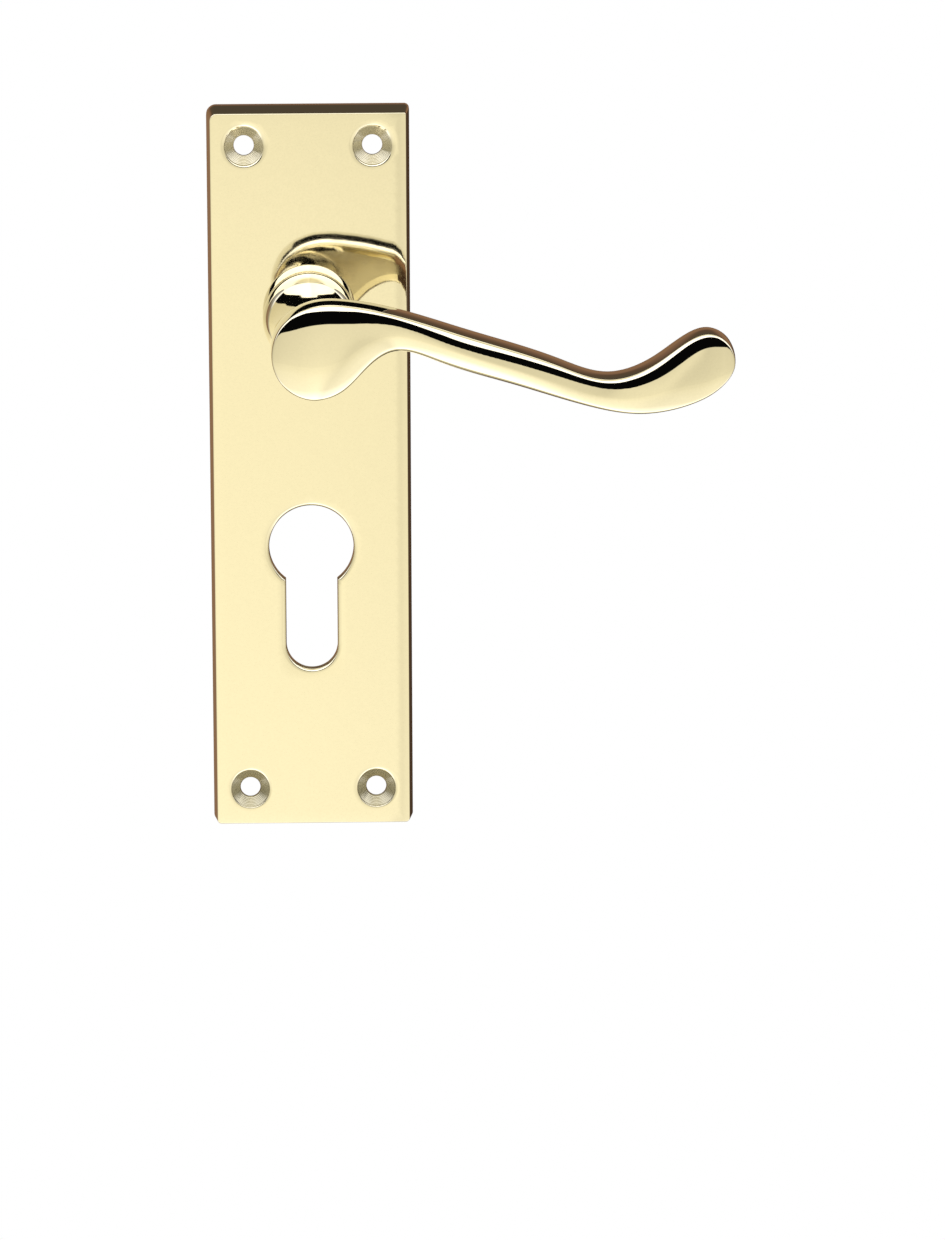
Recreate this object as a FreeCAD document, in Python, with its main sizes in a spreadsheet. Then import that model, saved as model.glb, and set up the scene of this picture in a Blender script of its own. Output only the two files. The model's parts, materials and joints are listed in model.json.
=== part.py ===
import FreeCAD, Part
import math
import os

import Sketcher

"""A scroll lever handle on a hollow rectangular backplate that has a euro-profile cylinder cut-out.

Frame: X runs along the lever, Z is up and the door lies at +Y. The origin is where the spindle axis
meets the door, so the plate's rim lies on Y = 0 and everything that a hand touches has Y below 0.
Names that end in _rear or _front are distances in front of the door, measured towards -Y.
"""

V = FreeCAD.Vector
TO_DOOR = V(0, 1, 0)

doc = FreeCAD.newDocument("scroll_lever_handle")
sheet = doc.addObject("Spreadsheet::Sheet", "dims")

# Driving dimensions, in millimetres and degrees.
DIMENSIONS = {
    "backplate": {
        "plate_height": 149.55, "plate_width": 41.2, "plate_depth": 8.5, "plate_above": 42.45,
        "plate_draft": 5.04, "corner_round": 1.2, "edge_round": 0.5, "plate_wall": 2.5,
        "face_wall": 2.5, "boss_radius": 10.3, "boss_rear": 2.5,
    },
    "cylinder cut-out": {
        "euro_drop": 48.0, "euro_radius": 8.65, "euro_slot_width": 10.5, "euro_below": 25.7,
    },
    "wood screw holes": {
        "screw_across": 26.0, "screw_up": 134.0, "screw_top": 35.0,
        "screw_radius": 2.05, "sink_radius": 3.9,
    },
    "bearing sleeve": {
        "sleeve_radius": 8.9, "sleeve_bore": 8.35, "sleeve_nose": 10.2, "nose_taper": 0.25,
    },
    "lever grip": {
        "grip_rear": 40.0, "grip_depth": 12.6, "grip_front_round": 0.8, "grip_rear_round": 0.8,
    },
    "lever neck and shank": {
        "shank_radius": 8.3, "shank_behind": 1.9, "shank_bevel": 0.6, "shoulder": 10.3,
        "shoulder_radius": 8.9, "bulb_front": 13.0, "bulb_radius": 9.25, "crease": 17.3,
        "crease_radius": 8.05, "taper_end": 22.5, "taper_radius": 7.1,
        "waist": 31.5, "waist_radius": 6.6, "neck_end": 42.0,
        "neck_end_radius": 7.1, "flat_half": 7.2, "flat_front": 2.1,
        "groove_radius": 7.65, "groove_front": 0.42, "groove_behind": 0.62,
    },
    "spindle socket and grub screw": {
        "socket_width": 8.1, "socket_bottom": 32.0, "grub_front": 13.9, "grub_radius": 2.45,
        "grub_hole_radius": 2.5, "grub_inner": 4.4, "grub_length": 4.4, "grub_point": 0.8,
        "grub_key": 2.5, "grub_key_depth": 2.2,
    },
    "spring housing": {
        "housing_floor": 0.8, "housing_sheet": 1.0, "housing_radius": 16.6, "housing_rear": 3.4,
        "housing_bore": 10.35, "ear_width": 7.0, "ear_reach": 24.2, "stop_rear": 0.7,
        "fixing_pitch": 42.0, "fixing_boss": 3.2, "fixing_hole": 1.5, "fixing_pilot": 1.25,
        "fixing_bottom": 7.0, "fixing_head": 2.75, "fixing_head_height": 1.6,
        "fixing_slot_width": 0.7, "fixing_slot_depth": 0.8, "notch_width": 1.6,
        "stop_width": 3.2, "stop_play": 0.5,
    },
    "return spring": {
        "wire_radius": 0.6, "coil_radius": 12.3, "coil_front": 4.5, "coil_rear": 2.72,
        "coil_sweep": 480.0, "moving_leg_angle": 200.0, "moving_leg_reach": 15.0,
        "fixed_leg_reach": 16.3, "leg_bend": 1.5,
    },
    "drive cam": {
        "cam_front": 2.0, "cam_thickness": 1.1, "cam_radius": 13.4, "cam_lug_reach": 16.9,
        "cam_lug_rest": 112.5, "cam_lug_spread": 24.0, "cam_tab_width": 2.0, "cam_tab_inner": 13.8,
        "cam_tab_outer": 15.0, "cam_tab_front": 3.6, "cam_bore": 8.35, "play": 0.05,
    },
    "rings on the shank": {
        "thrust_thickness": 0.4, "ring_bore": 8.4, "thrust_outer": 10.2,
        "wave_thickness": 0.2, "wave_swing": 0.13, "wave_outer": 9.9, "wave_count": 3.0,
        "clip_front": 0.4, "clip_thickness": 1.0, "clip_bore": 7.7, "clip_outer": 9.25,
        "clip_gap_half": 1.6, "clip_lug": 1.6, "clip_eye": 0.7, "clip_eye_offset": 3.3,
        "clip_eye_drop": 9.1,
    },
    "travel": {"lever_travel": 45.0},
}
ALIASES = []
for group, values in DIMENSIONS.items():
    row = len(ALIASES) + 1
    for alias, value in values.items():
        sheet.set(f"A{row}", group)
        sheet.set(f"B{row}", str(value))
        sheet.setAlias(f"B{row}", alias)
        ALIASES.append(alias)
        row += 1
doc.recompute()


def dim(alias):
    """The value of one of the sheet's cells."""
    return float(getattr(sheet, alias))


def bind(target, prop, expression):
    """Ties a property to the sheet: every alias in the expression becomes a reference to its cell."""
    words = expression.replace("(", "( ").replace(")", " )").split()
    target.setExpression(prop, " ".join(f"dims.{w}" if w in ALIASES else w for w in words))


# ------------------------------------------------------------------------------ sketch helpers
def new_body(label):
    body = doc.addObject("PartDesign::Body", label)
    body.Label = label
    return body


def new_sketch(body, name, role, offset=None, turn=None):
    """A sketch on one of the body's own planes, moved along and turned about that plane's normal."""
    sketch = body.newObject("Sketcher::SketchObject", name)
    plane = next(f for f in body.Origin.OriginFeatures if f.Role == role)
    sketch.AttachmentSupport = [(plane, "")]
    sketch.MapMode = "FlatFace"
    if offset:
        bind(sketch, "AttachmentOffset.Base.z", offset)
    if turn:
        bind(sketch, "AttachmentOffset.Rotation.Angle", turn)
    return sketch


def place(sketch, curve, point, across, up):
    """Holds a curve's point at two coordinates; each is an expression, or None for zero."""
    for kind, axis, expression in (("DistanceX", -2, across), ("DistanceY", -1, up)):
        if expression is None:
            sketch.addConstraint(Sketcher.Constraint("PointOnObject", curve, point, axis))
        else:
            index = sketch.addConstraint(Sketcher.Constraint(kind, -1, 1, curve, point, 1.0))
            bind(sketch, f"Constraints[{index}]", expression)


def draw_circle(sketch, across, up, radius):
    curve = sketch.addGeometry(Part.Circle(V(0, 0, 0), V(0, 0, 1), 1.0))
    place(sketch, curve, 3, across, up)
    index = sketch.addConstraint(Sketcher.Constraint("Radius", curve, 1.0))
    bind(sketch, f"Constraints[{index}]", radius)
    return curve


def draw_polygon(sketch, corners):
    """A closed outline of straight lines through corners, each an (across, up) pair of expressions."""
    count = len(corners)
    rough = [V(math.cos(2 * math.pi * k / count), math.sin(2 * math.pi * k / count), 0)
             for k in range(count)]
    lines = [sketch.addGeometry(Part.LineSegment(rough[k], rough[(k + 1) % count]))
             for k in range(count)]
    for k in range(count):
        sketch.addConstraint(Sketcher.Constraint("Coincident", lines[k], 2, lines[(k + 1) % count], 1))
    for line, (across, up) in zip(lines, corners):
        place(sketch, line, 1, across, up)
    return lines


def draw_rectangle(sketch, left, right, bottom, top):
    return draw_polygon(sketch, [(left, bottom), (right, bottom), (right, top), (left, top)])


def feature(body, kind, name, sketch, **settings):
    """A sketch-based feature; a setting given as text is an expression."""
    made = body.newObject(f"PartDesign::{kind}", name)
    made.Profile = sketch
    for prop, value in settings.items():
        if isinstance(value, str) and prop not in ("Type", "Midplane"):
            bind(made, prop, value)
        else:
            setattr(made, prop, value)
    doc.recompute()
    return made


def round_edges(body, name, base, edges, radius):
    made = body.newObject("PartDesign::Fillet", name)
    made.Base = (base, edges)
    bind(made, "Radius", radius)
    doc.recompute()
    return made


def edges_where(shape, test):
    """The names of the edges whose bounding box passes a test."""
    return [f"Edge{k}" for k, edge in enumerate(shape.Edges, start=1) if test(edge.BoundBox)]


def cut_checked(base, made):
    """A cut has to take something away."""
    if not made.Shape.Volume < base.Shape.Volume - 1e-3:
        raise RuntimeError(f"{made.Label} cuts nothing")
    return made


# ------------------------------------------------------------------------------ backplate
def make_backplate():
    """A hollow casting with drafted sides, open towards the door, with a boss for the sleeve."""
    body = new_body("backplate")
    outline = new_sketch(body, "plate_outline", "XZ_Plane")
    draw_rectangle(outline, "-1 * plate_width / 2", "plate_width / 2",
                   "plate_above - plate_height", "plate_above")
    block = feature(body, "Pad", "plate_block", outline,
                    Length="plate_depth", TaperAngle="-1 * plate_draft")
    corners = edges_where(block.Shape, lambda box: box.YLength > 8 and box.ZLength < 2)
    block = round_edges(body, "corner_rounds", block, corners, "corner_round")
    front = edges_where(block.Shape, lambda box: box.YMax < -8)
    block = round_edges(body, "front_rounds", block, front, "edge_round")

    hollow = new_sketch(body, "hollow_outline", "XZ_Plane")
    draw_rectangle(hollow, "plate_wall - plate_width / 2", "plate_width / 2 - plate_wall",
                   "plate_above - plate_height + plate_wall", "plate_above - plate_wall")
    hollowed = feature(body, "Pocket", "hollow", hollow, Reversed=True,
                       Length="plate_depth - face_wall", TaperAngle="-1 * plate_draft")
    cut_checked(block, hollowed)

    # The boss that holds the sleeve, and two short ones for the spring housing's screws.
    bosses = new_sketch(body, "boss_circles", "XZ_Plane", "boss_rear")
    draw_circle(bosses, None, None, "boss_radius")
    feature(body, "Pad", "sleeve_boss", bosses, Length="plate_depth - boss_rear - 1")
    seats = new_sketch(body, "fixing_boss_circles", "XZ_Plane", "housing_rear + housing_sheet")
    draw_circle(seats, None, "fixing_pitch / 2", "fixing_boss")
    draw_circle(seats, None, "fixing_pitch / -2", "fixing_boss")
    bossed = feature(body, "Pad", "fixing_bosses", seats,
                     Length="plate_depth - housing_rear - housing_sheet - 1")

    bore = new_sketch(body, "sleeve_bore_circle", "XZ_Plane")
    draw_circle(bore, None, None, "sleeve_radius")
    bored = feature(body, "Pocket", "sleeve_hole", bore, Type="ThroughAll", Reversed=True)
    cut_checked(bossed, bored)
    pilots = new_sketch(body, "fixing_pilot_circles", "XZ_Plane")
    draw_circle(pilots, None, "fixing_pitch / 2", "fixing_pilot")
    draw_circle(pilots, None, "fixing_pitch / -2", "fixing_pilot")
    piloted = feature(body, "Pocket", "fixing_pilots", pilots, Reversed=True, Length="fixing_bottom")
    cut_checked(bored, piloted)

    # Cylinder cut-out: a round hole and a round-ended slot below it.
    euro = new_sketch(body, "euro_circle", "XZ_Plane")
    draw_circle(euro, None, "-1 * euro_drop", "euro_radius")
    round_hole = feature(body, "Pocket", "euro_hole", euro, Type="ThroughAll", Reversed=True)
    cut_checked(piloted, round_hole)
    slot = new_sketch(body, "euro_slot_outline", "XZ_Plane")
    draw_rectangle(slot, "euro_slot_width / -2", "euro_slot_width / 2",
                   "euro_slot_width / 2 - euro_drop - euro_below", "-1 * euro_drop")
    slotted = feature(body, "Pocket", "euro_slot", slot, Type="ThroughAll", Reversed=True)
    cut_checked(round_hole, slotted)
    end = new_sketch(body, "euro_slot_end", "XZ_Plane")
    draw_circle(end, None, "euro_slot_width / 2 - euro_drop - euro_below", "euro_slot_width / 2")
    ended = feature(body, "Pocket", "euro_slot_round", end, Type="ThroughAll", Reversed=True)
    cut_checked(slotted, ended)

    # One countersunk screw hole, turned about its own axis, then repeated in both directions.
    sink = new_sketch(body, "screw_hole_profile", "XY_Plane", "screw_top")
    draw_polygon(sink, [
        ("-1 * screw_across / 2", "1"),
        ("screw_radius - screw_across / 2", "1"),
        ("screw_radius - screw_across / 2", "sink_radius - screw_radius - plate_depth"),
        ("sink_radius - screw_across / 2", "-1 * plate_depth"),
        ("sink_radius - screw_across / 2", "-1 * plate_depth - 1"),
        ("-1 * screw_across / 2", "-1 * plate_depth - 1"),
    ])
    hole = body.newObject("PartDesign::Groove", "screw_hole")
    hole.Profile = sink
    hole.ReferenceAxis = (sink, ["Edge6"])
    hole.Angle = 360.0
    doc.recompute()
    cut_checked(ended, hole)
    holes = body.newObject("PartDesign::MultiTransform", "screw_holes")
    holes.Originals = [hole]
    body.Tip = holes
    across = body.newObject("PartDesign::LinearPattern", "screw_holes_across")
    across.Direction = (outline, ["H_Axis"])
    bind(across, "Length", "screw_across")
    across.Occurrences = 2
    up = body.newObject("PartDesign::LinearPattern", "screw_holes_up")
    up.Direction = (outline, ["V_Axis"])
    up.Reversed = True
    bind(up, "Length", "screw_up")
    up.Occurrences = 2
    holes.Transformations = [across, up]
    body.Tip = holes
    doc.recompute()
    return body


# ------------------------------------------------------------------------------ bearing sleeve
def make_bearing_sleeve():
    """A thin bush pressed into the plate's boss; its slightly tapered nose stands out in front."""
    body = new_body("bearing_sleeve")
    profile = new_sketch(body, "sleeve_profile", "XY_Plane")
    draw_polygon(profile, [
        ("sleeve_bore", "-1 * boss_rear"), ("sleeve_radius", "-1 * boss_rear"),
        ("sleeve_radius", "-1 * plate_depth"),
        ("sleeve_radius - nose_taper", "-1 * sleeve_nose"), ("sleeve_bore", "-1 * sleeve_nose"),
    ])
    feature(body, "Revolution", "sleeve", profile, ReferenceAxis=(profile, ["V_Axis"]), Angle=360.0)
    return body


# ------------------------------------------------------------------------------ lever
# The grip's outline as (across, up) places: a round head, a wavy arm that slopes down, and a
# turned-up scroll at the end.
GRIP_OUTLINE = [
    (-0.4, -8.9), (-5.8, -5.8), (-7.9, 0.0), (-5.8, 5.95), (0.0, 9.5), (8.0, 9.7), (16.0, 8.2),
    (31.0, 3.6), (49.5, -2.5), (59.2, -5.25), (68.2, -2.2), (74.0, 1.85), (78.9, 3.6), (82.8, 1.75),
    (84.2, -2.2), (81.4, -6.9), (75.0, -10.45), (65.0, -12.2), (55.0, -10.6), (40.0, -6.05),
    (25.0, -1.3), (16.2, 0.65), (10.9, -2.9), (6.1, -7.4),
]


def smooth_curve(points, closed=False):
    """One smooth curve through points in a sketch's own plane."""
    curve = Part.BSplineCurve()
    curve.interpolate(Points=[V(across, up, 0) for across, up in points], PeriodicFlag=closed)
    return curve


def make_lever():
    """Grip, neck and shank in one casting, with the spindle's socket and the ring's groove."""
    body = new_body("lever")
    outline = new_sketch(body, "grip_outline", "XZ_Plane", "grip_rear")
    outline.addGeometry(smooth_curve(GRIP_OUTLINE, closed=True))
    grip = feature(body, "Pad", "grip", outline, Length="grip_depth")
    front = -dim("grip_rear") - dim("grip_depth")
    front_edges = edges_where(grip.Shape, lambda box: box.YMax < front + 1)
    grip = round_edges(body, "grip_front_rounds", grip, front_edges, "grip_front_round")
    rear_edges = edges_where(grip.Shape, lambda box: box.YMin > -dim("grip_rear") - 0.1)
    grip = round_edges(body, "grip_rear_rounds", grip, rear_edges, "grip_rear_round")

    neck = new_sketch(body, "neck_profile", "XY_Plane")
    draw_neck_profile(neck)
    turned = feature(body, "Revolution", "neck_and_shank", neck,
                     ReferenceAxis=(neck, ["V_Axis"]), Angle=360.0)

    flats = new_sketch(body, "flat_outlines", "XZ_Plane", "flat_front")
    for side in ("", "-1 * "):
        draw_rectangle(flats, "-2 * shank_radius", "2 * shank_radius",
                       side + "flat_half", side + "2 * shank_radius")
    flatted = feature(body, "Pocket", "drive_flats", flats, Type="ThroughAll")
    cut_checked(turned, flatted)

    socket = new_sketch(body, "socket_outline", "XZ_Plane", "-1 * shank_behind")
    draw_rectangle(socket, "socket_width / -2", "socket_width / 2",
                   "socket_width / -2", "socket_width / 2")
    socketed = feature(body, "Pocket", "spindle_socket", socket, Reversed=True,
                       Length="socket_bottom + shank_behind")
    cut_checked(flatted, socketed)

    grub = new_sketch(body, "grub_hole_circle", "XY_Plane")
    draw_circle(grub, None, "-1 * grub_front", "grub_hole_radius")
    drilled = feature(body, "Pocket", "grub_hole", grub, Length="2 * bulb_radius")
    cut_checked(socketed, drilled)

    groove = new_sketch(body, "clip_groove_profile", "XY_Plane")
    draw_rectangle(groove, "groove_radius", "2 * shank_radius", "-1 * groove_front", "groove_behind")
    grooved = feature(body, "Groove", "clip_groove", groove,
                      ReferenceAxis=(groove, ["V_Axis"]), Angle=360.0)
    cut_checked(drilled, grooved)
    return body


def draw_neck_profile(sketch):
    """Half the section of shank, bulb and neck, closed along the spindle's axis."""
    corners = [
        (None, "-1 * neck_end"), (None, "shank_behind"),
        ("shank_radius - shank_bevel", "shank_behind"),
        ("shank_radius", "shank_behind - shank_bevel"), ("shank_radius", "-1 * shoulder"),
        ("shoulder_radius", "-1 * shoulder"), ("neck_end_radius", "-1 * neck_end"),
    ]
    lines = draw_polygon(sketch, corners)
    shoulder = (dim("shoulder_radius"), -dim("shoulder"))
    crease = (dim("crease_radius"), -dim("crease"))
    end = (dim("neck_end_radius"), -dim("neck_end"))
    doc.recompute()
    sketch.toggleConstruction(lines[5])
    bulb = sketch.addGeometry(smooth_curve(
        [shoulder, (dim("bulb_radius"), -dim("bulb_front")), crease]))
    neck = sketch.addGeometry(smooth_curve(
        [crease, (dim("taper_radius"), -dim("taper_end")), (dim("waist_radius"), -dim("waist")), end]))
    sketch.addConstraint(Sketcher.Constraint("Coincident", bulb, 1, lines[5], 1))
    sketch.addConstraint(Sketcher.Constraint("Coincident", bulb, 2, neck, 1))
    sketch.addConstraint(Sketcher.Constraint("Coincident", neck, 2, lines[6], 1))
    place(sketch, bulb, 2, "crease_radius", "-1 * crease")


def make_grub_screw():
    """A short set screw with a cone point and a hexagon socket; it runs up towards the spindle."""
    body = new_body("grub_screw")
    profile = new_sketch(body, "grub_profile", "XZ_Plane", "grub_front")
    draw_polygon(profile, [
        (None, "-1 * grub_inner"), (None, "-1 * grub_inner - grub_length"),
        ("grub_radius", "-1 * grub_inner - grub_length"),
        ("grub_radius", "-1 * grub_inner - grub_point"),
        ("grub_radius - grub_point", "-1 * grub_inner"),
    ])
    turned = feature(body, "Revolution", "grub", profile,
                     ReferenceAxis=(profile, ["V_Axis"]), Angle=360.0)
    key = body.newObject("PartDesign::SubtractivePrism", "grub_key")
    plane = next(f for f in body.Origin.OriginFeatures if f.Role == "XY_Plane")
    key.AttachmentSupport = [(plane, "")]
    key.MapMode = "FlatFace"
    key.Polygon = 6
    bind(key, "Circumradius", "grub_key / 2 / cos( 30 deg )")
    bind(key, "Height", "grub_key_depth")
    bind(key, "AttachmentOffset.Base.y", "-1 * grub_front")
    bind(key, "AttachmentOffset.Base.z", "-1 * grub_inner - grub_length")
    doc.recompute()
    cut_checked(turned, key)
    return body


# ------------------------------------------------------------------------------ spring housing
def make_spring_housing():
    """A pressed cup round the boss, with two ears for screws and two upright tabs as stops."""
    body = new_body("spring_housing")
    cup = new_sketch(body, "cup_circle", "XZ_Plane", "housing_rear")
    draw_circle(cup, None, None, "housing_radius")
    feature(body, "Pad", "cup_block", cup, Length="plate_depth - face_wall - housing_rear")
    ears = new_sketch(body, "ear_outline", "XZ_Plane", "housing_rear")
    draw_rectangle(ears, "ear_width / -2", "ear_width / 2", "-1 * ear_reach", "ear_reach")
    block = feature(body, "Pad", "ears", ears, Length="housing_sheet")
    ends = edges_where(block.Shape, lambda box: box.XLength < 0.1 and box.ZLength < 0.1
                       and abs(box.Center.z) > dim("housing_radius"))
    block = round_edges(body, "ear_rounds", block, ends, "ear_width / 2.2")
    inside = new_sketch(body, "cup_inside", "XZ_Plane", "housing_rear")
    draw_circle(inside, None, None, "housing_radius - housing_sheet")
    cupped = feature(body, "Pocket", "cup", inside, Reversed=True,
                     Length="plate_depth - face_wall - housing_rear - housing_floor")
    cut_checked(block, cupped)
    bore = new_sketch(body, "cup_bore_circle", "XZ_Plane")
    draw_circle(bore, None, None, "housing_bore")
    bored = feature(body, "Pocket", "cup_bore", bore, Type="ThroughAll", Reversed=True)
    cut_checked(cupped, bored)
    fixings = new_sketch(body, "fixing_circles", "XZ_Plane")
    draw_circle(fixings, None, "fixing_pitch / 2", "fixing_hole")
    draw_circle(fixings, None, "fixing_pitch / -2", "fixing_hole")
    drilled = feature(body, "Pocket", "fixing_holes", fixings, Type="ThroughAll", Reversed=True)
    cut_checked(bored, drilled)

    notch = new_sketch(body, "notch_outline", "XZ_Plane", "housing_rear",
                       "moving_leg_angle + coil_sweep - 360")
    draw_rectangle(notch, "housing_radius - 2 * housing_sheet", "housing_radius + housing_sheet",
                   "leg_bend - notch_width / 2", "leg_bend + notch_width / 2")
    notched = feature(body, "Pocket", "leg_notch", notch, Reversed=True,
                      Length="plate_depth - face_wall - housing_rear - housing_floor")
    cut_checked(drilled, notched)

    inner = "housing_radius - housing_sheet"
    rest = new_sketch(body, "rest_stop_outline", "XZ_Plane", "stop_rear",
                      "cam_lug_rest + cam_lug_spread / 2 + stop_play")
    draw_rectangle(rest, inner, "housing_radius", None, "stop_width")
    feature(body, "Pad", "rest_stop", rest, Length="housing_rear")
    limit = new_sketch(body, "travel_stop_outline", "XZ_Plane", "stop_rear",
                       "cam_lug_rest - lever_travel - cam_lug_spread / 2 - stop_play")
    draw_rectangle(limit, inner, "housing_radius", "-1 * stop_width", None)
    feature(body, "Pad", "travel_stop", limit, Length="housing_rear")
    return body


def make_housing_screws():
    """Two slotted pan-head screws, one through each ear of the housing into the plate."""
    body = new_body("housing_screws")
    profile = new_sketch(body, "screw_profile", "XY_Plane", "fixing_pitch / 2")
    draw_polygon(profile, [
        (None, "fixing_head_height - housing_rear"),
        ("fixing_head - 0.5", "fixing_head_height - housing_rear"),
        ("fixing_head", "fixing_head_height - housing_rear - 0.7"),
        ("fixing_head", "-1 * housing_rear"), ("fixing_pilot - play", "-1 * housing_rear"),
        ("fixing_pilot - play", "0.4 - fixing_bottom"), (None, "0.4 - fixing_bottom"),
    ])
    upper = feature(body, "Revolution", "upper_screw", profile,
                    ReferenceAxis=(profile, ["V_Axis"]), Angle=360.0)
    slot = new_sketch(body, "slot_outline", "XZ_Plane", "housing_rear - fixing_head_height")
    draw_rectangle(slot, "-1 * fixing_head - 1", "fixing_head + 1",
                   "fixing_pitch / 2 - fixing_slot_width / 2",
                   "fixing_pitch / 2 + fixing_slot_width / 2")
    slotted = feature(body, "Pocket", "upper_slot", slot, Reversed=True, Length="fixing_slot_depth")
    cut_checked(upper, slotted)
    lower = body.newObject("PartDesign::Mirrored", "lower_screw")
    lower.Originals = [upper, slotted]
    plane = next(f for f in body.Origin.OriginFeatures if f.Role == "XY_Plane")
    lower.MirrorPlane = (plane, [""])
    body.Tip = lower
    doc.recompute()
    return body


# ------------------------------------------------------------------------------ drive cam
def make_drive_cam():
    """A steel disc driven by the shank's two flats; its lug meets the stops, its tab the spring."""
    body = new_body("drive_cam")
    rear = "cam_front - cam_thickness"
    disc = new_sketch(body, "disc_circle", "XZ_Plane", rear)
    draw_circle(disc, None, None, "cam_radius")
    feature(body, "Pad", "disc", disc, Length="cam_thickness")
    lug = new_sketch(body, "lug_outline", "XZ_Plane", rear, "cam_lug_rest")
    half = "( cam_lug_spread * 0.5 deg )"
    draw_polygon(lug, [
        (None, None), (f"cam_lug_reach * cos{half}", f"-1 * cam_lug_reach * sin{half}"),
        (f"cam_lug_reach * cos{half}", f"cam_lug_reach * sin{half}"),
    ])
    feature(body, "Pad", "lug", lug, Length="cam_thickness")
    near = "wire_radius - leg_bend + play"
    root = new_sketch(body, "tab_root_outline", "XZ_Plane", rear, "moving_leg_angle")
    draw_rectangle(root, "coil_radius", "cam_tab_outer", near, near + " + cam_tab_width")
    feature(body, "Pad", "tab_root", root, Length="cam_thickness")
    tab = new_sketch(body, "tab_outline", "XZ_Plane", rear, "moving_leg_angle")
    draw_rectangle(tab, "cam_tab_inner", "cam_tab_outer", near, near + " + cam_tab_width")
    tabbed = feature(body, "Pad", "tab", tab, Length="cam_tab_front - cam_front + cam_thickness")
    bore = new_sketch(body, "bore_circle", "XZ_Plane")
    draw_circle(bore, None, None, "cam_bore")
    bored = feature(body, "Pocket", "bore", bore, Type="ThroughAll", Reversed=True)
    cut_checked(tabbed, bored)
    for name, low, high in (
        ("upper_flat", "flat_half + play", "flat_half + play + 1.5"),
        ("lower_flat", "-1 * flat_half - play - 1.5", "-1 * flat_half - play"),
    ):
        flat = new_sketch(body, name + "_outline", "XZ_Plane", rear)
        draw_rectangle(flat, "flat_half / -1.5", "flat_half / 1.5", low, high)
        feature(body, "Pad", name, flat, Length="cam_thickness")
    return body


# ------------------------------------------------------------------------------ rings
def make_thrust_washer():
    """A flat washer between the plate's boss and the cam."""
    body = new_body("thrust_washer")
    ring = new_sketch(body, "ring_circles", "XZ_Plane", "cam_front + play")
    draw_circle(ring, None, None, "thrust_outer")
    draw_circle(ring, None, None, "ring_bore")
    feature(body, "Pad", "ring", ring, Length="thrust_thickness")
    return body


def make_circlip():
    """An open ring with two eyed lugs; it snaps into the shank's groove from below."""
    body = new_body("circlip")
    rear = "clip_front - clip_thickness"
    ring = new_sketch(body, "ring_circles", "XZ_Plane", rear)
    draw_circle(ring, None, None, "clip_outer")
    feature(body, "Pad", "ring", ring, Length="clip_thickness")
    lugs = new_sketch(body, "lug_circles", "XZ_Plane", rear)
    draw_circle(lugs, "clip_eye_offset", "-1 * clip_eye_drop", "clip_lug")
    draw_circle(lugs, "-1 * clip_eye_offset", "-1 * clip_eye_drop", "clip_lug")
    lugged = feature(body, "Pad", "lugs", lugs, Length="clip_thickness")
    cuts = new_sketch(body, "bore_circle", "XZ_Plane", rear)
    draw_circle(cuts, None, None, "clip_bore")
    bored = feature(body, "Pocket", "bore", cuts, Type="ThroughAll", Reversed=True)
    cut_checked(lugged, bored)
    eyes = new_sketch(body, "eye_circles", "XZ_Plane", rear)
    draw_circle(eyes, "clip_eye_offset", "-1 * clip_eye_drop", "clip_eye")
    draw_circle(eyes, "-1 * clip_eye_offset", "-1 * clip_eye_drop", "clip_eye")
    eyed = feature(body, "Pocket", "eyes", eyes, Type="ThroughAll", Reversed=True)
    cut_checked(bored, eyed)
    gap = new_sketch(body, "gap_outline", "XZ_Plane", rear)
    draw_rectangle(gap, "-1 * clip_gap_half", "clip_gap_half", "-2 * clip_outer", None)
    gapped = feature(body, "Pocket", "gap", gap, Type="ThroughAll", Reversed=True)
    cut_checked(eyed, gapped)
    return body


def make_wave_washer():
    """A thin springy ring, waved along the spindle's axis, that takes up the end play."""
    middle = (dim("cam_front") - dim("cam_thickness") + dim("clip_front")) / 2
    steps = 48

    def rim(radius):
        places = []
        for k in range(steps):
            angle = 2 * math.pi * k / steps
            lift = dim("wave_swing") * math.cos(dim("wave_count") * angle)
            places.append(V(radius * math.cos(angle), lift - middle - dim("wave_thickness") / 2,
                            radius * math.sin(angle)))
        curve = Part.BSplineCurve()
        curve.interpolate(Points=places, PeriodicFlag=True)
        return curve.toShape()

    band = Part.makeRuledSurface(rim(dim("ring_bore")), rim(dim("wave_outer")))
    washer = doc.addObject("Part::Feature", "wave_washer")
    washer.Label = "wave_washer"
    washer.Shape = band.extrude(TO_DOOR * dim("wave_thickness"))
    washer.Placement = FreeCAD.Placement()
    return washer


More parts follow.
